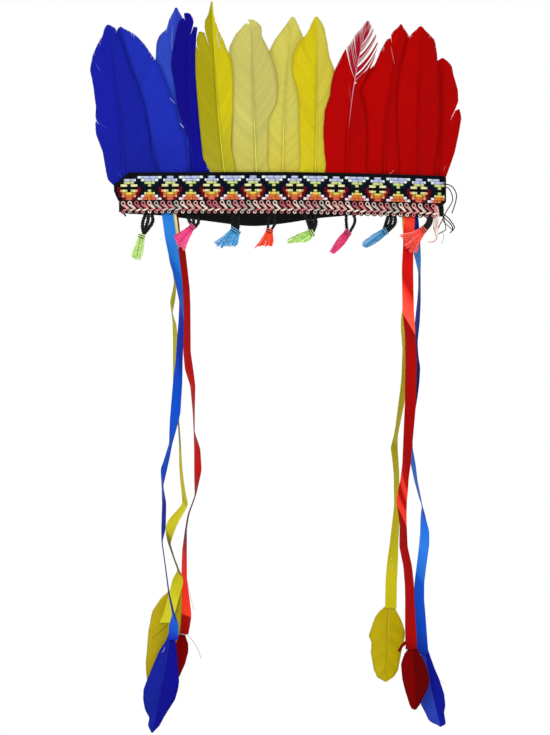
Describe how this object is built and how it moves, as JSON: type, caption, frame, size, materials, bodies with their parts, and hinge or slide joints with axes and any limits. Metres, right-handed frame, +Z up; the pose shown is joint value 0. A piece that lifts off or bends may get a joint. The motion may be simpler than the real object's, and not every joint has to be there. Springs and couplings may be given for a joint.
{
  "type": "feathered headdress",
  "caption": "Headdress of dyed feathers standing in a woven, crochet-edged band with small tassels, satin ribbons that end in feathers, and an elastic strap behind.",
  "frame": {"origin": "middle of the head opening, level with the lower edge of the woven band", "axes": "+Z up along the standing feathers, -Y out of the band's patterned front, +X to the right of someone looking at the front"},
  "size_m": [0.3254, 0.0791, 0.6369],
  "materials": {
    "woven_trim": "woven floats over a black ground, matte",
    "black_felt": "matte felt",
    "crochet_braid": "shaded pink and cream yarn, matte",
    "black_elastic": "ribbed, matte",
    "black_cord": "crocheted cotton, matte",
    "feather_blue": "dyed feather, soft sheen",
    "feather_yellow": "dyed feather, soft sheen",
    "feather_red": "dyed feather, soft sheen",
    "satin_blue": "satin, glossy along its bends",
    "satin_yellow": "satin, glossy along its bends",
    "satin_red": "satin, glossy along its bends",
    "tassel_green": "soft cotton yarn, matte",
    "tassel_pink": "soft cotton yarn, matte",
    "tassel_sky": "soft cotton yarn, matte",
    "tassel_orange": "soft cotton yarn, matte",
    "tassel_magenta": "soft cotton yarn, matte",
    "tassel_blue": "soft cotton yarn, matte",
    "tassel_coral": "soft cotton yarn, matte"
  },
  "bodies": {
    "root": {"woven_trim": "woven_trim", "felt_backing": "black_felt", "gimp_braid": "crochet_braid", "back_strap": "black_elastic", "feather_blue_outer": "feather_blue", "feather_blue_second": "feather_blue", "feather_blue_pale": "feather_blue", "feather_blue_dark": "feather_blue", "feather_yellow_first": "feather_yellow", "feather_yellow_second": "feather_yellow", "feather_yellow_third": "feather_yellow", "feather_yellow_fourth": "feather_yellow", "feather_red_first": "feather_red", "feather_red_second": "feather_red", "feather_red_third": "feather_red", "feather_red_outer": "feather_red", "ribbon_blue_left": "satin_blue", "end_feather_blue_left": "feather_blue", "ribbon_yellow_left": "satin_yellow", "end_feather_yellow_left": "feather_yellow", "ribbon_red_left": "satin_red", "end_feather_red_left": "feather_red", "ribbon_blue_right": "satin_blue", "end_feather_blue_right": "feather_blue", "ribbon_yellow_right": "satin_yellow", "end_feather_yellow_right": "feather_yellow", "ribbon_red_right": "satin_red", "end_feather_red_right": "feather_red", "tassel_1_cord": "black_cord", "tassel_1_skirt": "tassel_green", "tassel_2_cord": "black_cord", "tassel_2_skirt": "tassel_pink", "tassel_3_cord": "black_cord", "tassel_3_skirt": "tassel_sky", "tassel_4_cord": "black_cord", "tassel_4_skirt": "tassel_orange", "tassel_5_cord": "black_cord", "tassel_5_skirt": "tassel_green", "tassel_6_cord": "black_cord", "tassel_6_skirt": "tassel_magenta", "tassel_7_cord": "black_cord", "tassel_7_skirt": "tassel_blue", "tassel_8_cord": "black_cord", "tassel_8_skirt": "tassel_coral"}
  },
  "joints": []
}
